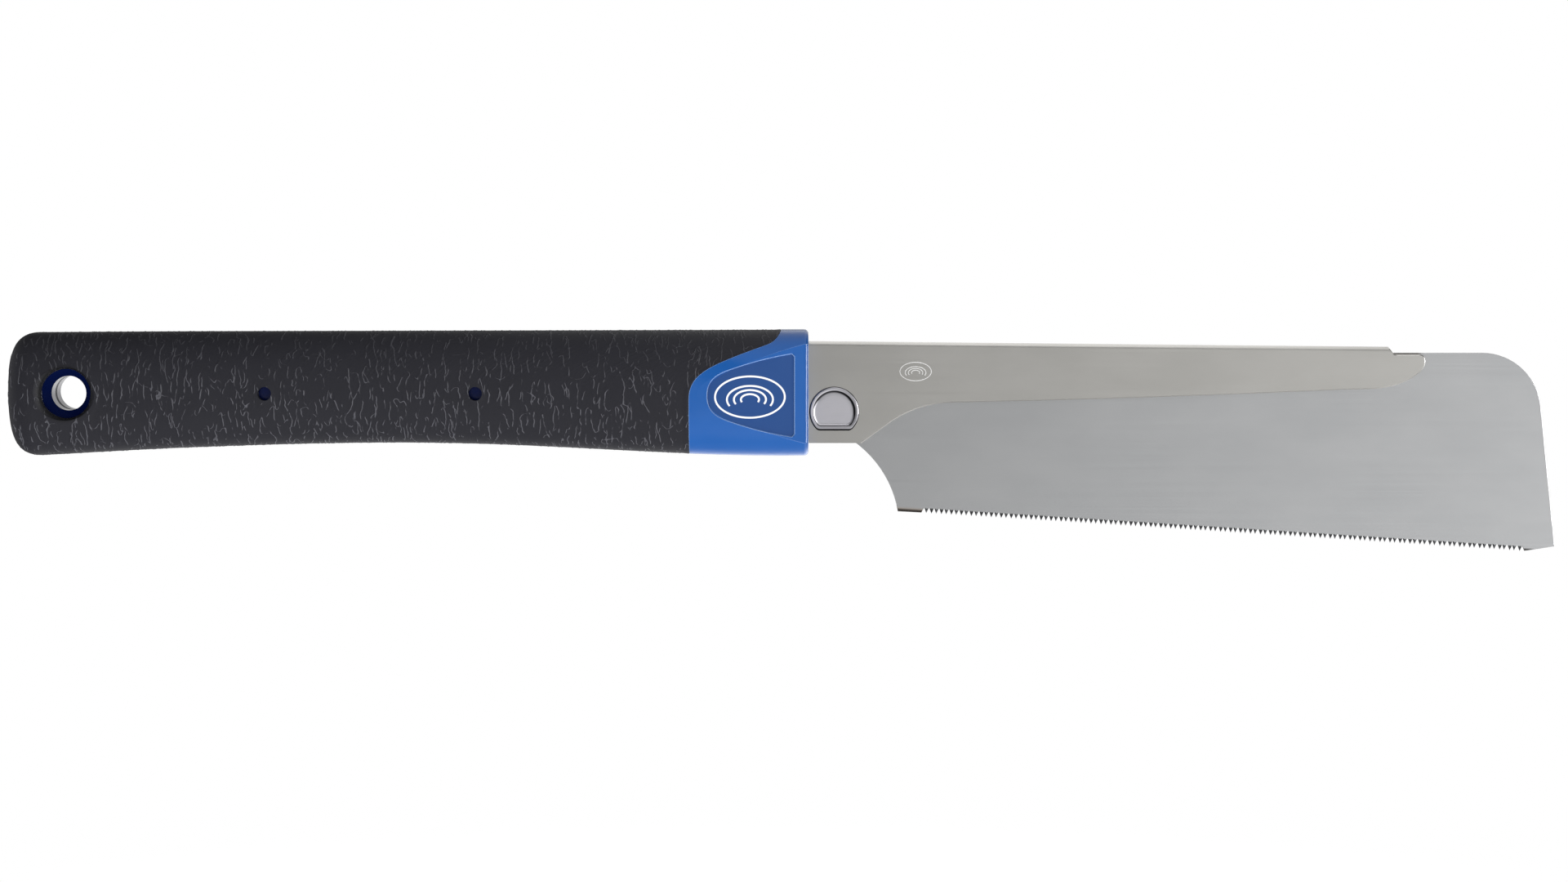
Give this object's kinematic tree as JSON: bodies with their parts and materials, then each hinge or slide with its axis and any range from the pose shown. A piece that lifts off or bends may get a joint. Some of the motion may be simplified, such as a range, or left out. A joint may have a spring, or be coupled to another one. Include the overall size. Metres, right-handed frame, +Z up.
{
  "type": "back saw",
  "caption": "Japanese-style pull back saw: thin toothed blade hooked on a D-shaped pin inside a folded steel back, with a straight soft-covered plastic handle and a hang hole.",
  "frame": {"origin": "middle of the hang hole, on the saw's middle plane", "axes": "+X along the saw to the toe, +Z up from the teeth to the back, +Y through the handle along the hang hole"},
  "size_m": [0.3852, 0.0218, 0.0555],
  "materials": {
    "blade_steel": "fine satin rolled steel, heat-tinted at the hardened tooth line",
    "back_steel": "warm satin plated sheet",
    "pin_steel": "smooth formed steel",
    "inner_steel": "plain steel, hidden",
    "core_plastic": "semi-gloss moulded blue",
    "grip_elastomer": "black elastomer with a fine leather grain"
  },
  "bodies": {
    "handle": {"handle_core": "core_plastic", "grip_cover": "grip_elastomer", "folded_back": "back_steel", "hook_pin": "pin_steel", "tang_spacer": "inner_steel", "tang_rivets": "inner_steel", "tang_cross_pins": "inner_steel"},
    "blade": {"saw_blade": "blade_steel"}
  },
  "joints": [
    {"name": "blade_swing", "type": "hinge", "parent": "handle", "child": "blade", "pos_m": [0.18993, 0, -0.00482], "axis": [0, 1, 0], "range_deg": [0, 30]}
  ]
}
